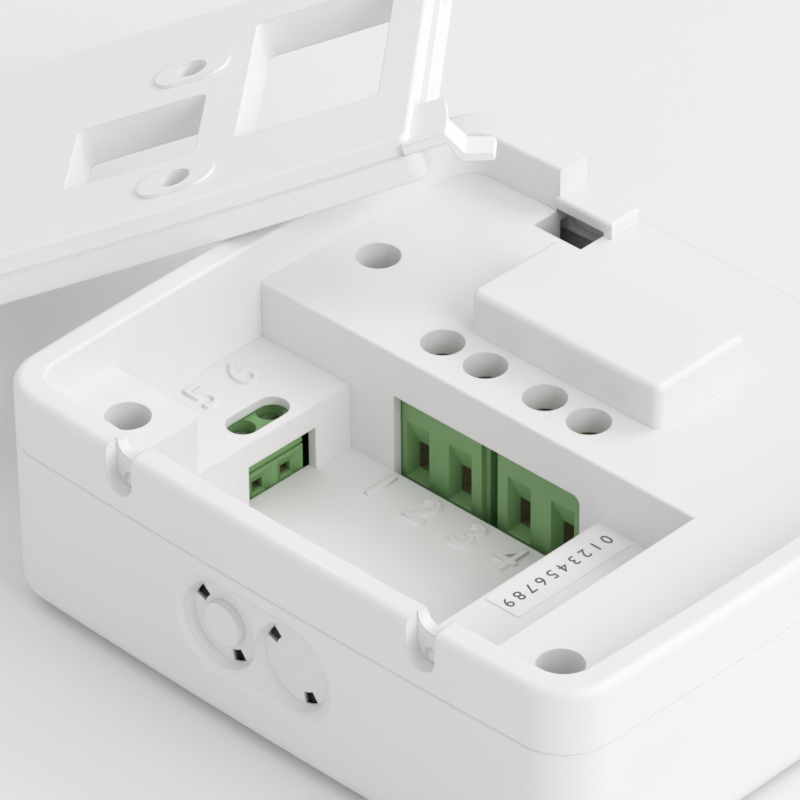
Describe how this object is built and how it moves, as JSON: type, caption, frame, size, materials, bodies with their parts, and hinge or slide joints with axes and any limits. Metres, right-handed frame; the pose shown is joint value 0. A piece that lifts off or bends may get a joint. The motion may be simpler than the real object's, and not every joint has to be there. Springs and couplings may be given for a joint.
{
  "type": "thermostat receiver",
  "caption": "wall-mounted wireless heating receiver with screw terminals in a wiring recess, shown face down with its wall plate taken off",
  "frame": {"origin": "the middle of the receiver's flat front face, on the surface that it lies on", "axes": "+X along the side with the cable knockouts, +Y away from that side, +Z out of the receiver's back"},
  "size_m": [0.1695, 0.1091, 0.0497],
  "materials": {
    "case": "fine satin moulding",
    "label": "smooth film",
    "steel": "zinc plated",
    "brass": "plain",
    "tin": "tinned",
    "board": "solder mask",
    "black_plastic": "moulded",
    "ferrite": "sintered",
    "yellow_tape": "smooth",
    "sleeve": "shrunk sleeve",
    "clear": "clear",
    "terminal_green": "fine satin moulding"
  },
  "bodies": {
    "receiver": {"rear_housing": "case", "front_cover": "case", "serial_label": "label", "case_screws": "steel", "board_screws": "steel", "circuit_board": "board", "power_relay": "black_plastic", "relay_pins": "tin", "transformer_core": "ferrite", "transformer_winding": "yellow_tape", "transformer_feet": "black_plastic", "bulk_capacitors": "sleeve", "filter_capacitor": "yellow_tape", "varistor": "sleeve", "board_fuse": "black_plastic", "bridge_rectifier": "black_plastic", "microcontroller": "black_plastic", "clock_crystal": "tin", "radio_board": "board", "radio_shield": "tin", "wire_aerial": "black_plastic", "switch_housing": "black_plastic", "status_leds": "clear", "light_rods": "clear", "relay_terminal_body": "terminal_green", "relay_terminal_contacts": "tin", "mains_terminal_body": "terminal_green", "mains_terminal_contacts": "tin", "bus_terminal_body": "terminal_green", "bus_terminal_contacts": "tin"},
    "wall_plate": {"wall_plate": "case"},
    "push_button": {"push_button": "case", "switch_plunger": "black_plastic"},
    "terminal_screw_1": {"terminal_screw_1": "steel"},
    "clamp_cage_1": {"clamp_cage_1": "brass"},
    "terminal_screw_2": {"terminal_screw_2": "steel"},
    "clamp_cage_2": {"clamp_cage_2": "brass"},
    "terminal_screw_3": {"terminal_screw_3": "steel"},
    "clamp_cage_3": {"clamp_cage_3": "brass"},
    "terminal_screw_4": {"terminal_screw_4": "steel"},
    "clamp_cage_4": {"clamp_cage_4": "brass"},
    "terminal_screw_5": {"terminal_screw_5": "steel"},
    "clamp_cage_5": {"clamp_cage_5": "brass"},
    "terminal_screw_6": {"terminal_screw_6": "steel"},
    "clamp_cage_6": {"clamp_cage_6": "brass"}
  },
  "joints": [
    {"name": "plate_lift", "type": "slide", "parent": "receiver", "child": "wall_plate", "axis": [0, 0, 1], "range_m": [0, 0.06]},
    {"name": "button_press", "type": "slide", "parent": "receiver", "child": "push_button", "axis": [0, 0, 1], "range_m": [0, 0.0003], "stiffness_N_per_m": 3000, "springref_m": -0.0005},
    {"name": "screw_turn_1", "type": "hinge", "parent": "receiver", "child": "terminal_screw_1", "pos_m": [-0.0194, 0.0065, 0.0186], "axis": [0, 0, -1], "range_deg": [0, 1800]},
    {"name": "cage_rise_1", "type": "slide", "parent": "receiver", "child": "clamp_cage_1", "axis": [0, 0, 1], "range_m": [0, 0.0025]},
    {"name": "screw_turn_2", "type": "hinge", "parent": "receiver", "child": "terminal_screw_2", "pos_m": [-0.0119, 0.0065, 0.0186], "axis": [0, 0, -1], "range_deg": [0, 1800]},
    {"name": "cage_rise_2", "type": "slide", "parent": "receiver", "child": "clamp_cage_2", "axis": [0, 0, 1], "range_m": [0, 0.0025]},
    {"name": "screw_turn_3", "type": "hinge", "parent": "receiver", "child": "terminal_screw_3", "pos_m": [-0.0016, 0.0065, 0.0186], "axis": [0, 0, -1], "range_deg": [0, 1800]},
    {"name": "cage_rise_3", "type": "slide", "parent": "receiver", "child": "clamp_cage_3", "axis": [0, 0, 1], "range_m": [0, 0.0025]},
    {"name": "screw_turn_4", "type": "hinge", "parent": "receiver", "child": "terminal_screw_4", "pos_m": [0.0059, 0.0065, 0.0186], "axis": [0, 0, -1], "range_deg": [0, 1800]},
    {"name": "cage_rise_4", "type": "slide", "parent": "receiver", "child": "clamp_cage_4", "axis": [0, 0, 1], "range_m": [0, 0.0025]},
    {"name": "screw_turn_5", "type": "hinge", "parent": "receiver", "child": "terminal_screw_5", "pos_m": [-0.0349, -0.01464, 0.0143], "axis": [0, 0, -1], "range_deg": [0, 1080]},
    {"name": "cage_rise_5", "type": "slide", "parent": "receiver", "child": "clamp_cage_5", "axis": [0, 0, 1], "range_m": [0, 0.0012]},
    {"name": "screw_turn_6", "type": "hinge", "parent": "receiver", "child": "terminal_screw_6", "pos_m": [-0.0349, -0.00956, 0.0143], "axis": [0, 0, -1], "range_deg": [0, 1080]},
    {"name": "cage_rise_6", "type": "slide", "parent": "receiver", "child": "clamp_cage_6", "axis": [0, 0, 1], "range_m": [0, 0.0012]}
  ],
  "couplings": [
    {"joint": "cage_rise_1", "follows": "screw_turn_1", "m_per_rad": 0.000079577},
    {"joint": "cage_rise_2", "follows": "screw_turn_2", "m_per_rad": 0.000079577},
    {"joint": "cage_rise_3", "follows": "screw_turn_3", "m_per_rad": 0.000079577},
    {"joint": "cage_rise_4", "follows": "screw_turn_4", "m_per_rad": 0.000079577},
    {"joint": "cage_rise_5", "follows": "screw_turn_5", "m_per_rad": 0.000063662},
    {"joint": "cage_rise_6", "follows": "screw_turn_6", "m_per_rad": 0.000063662}
  ]
}
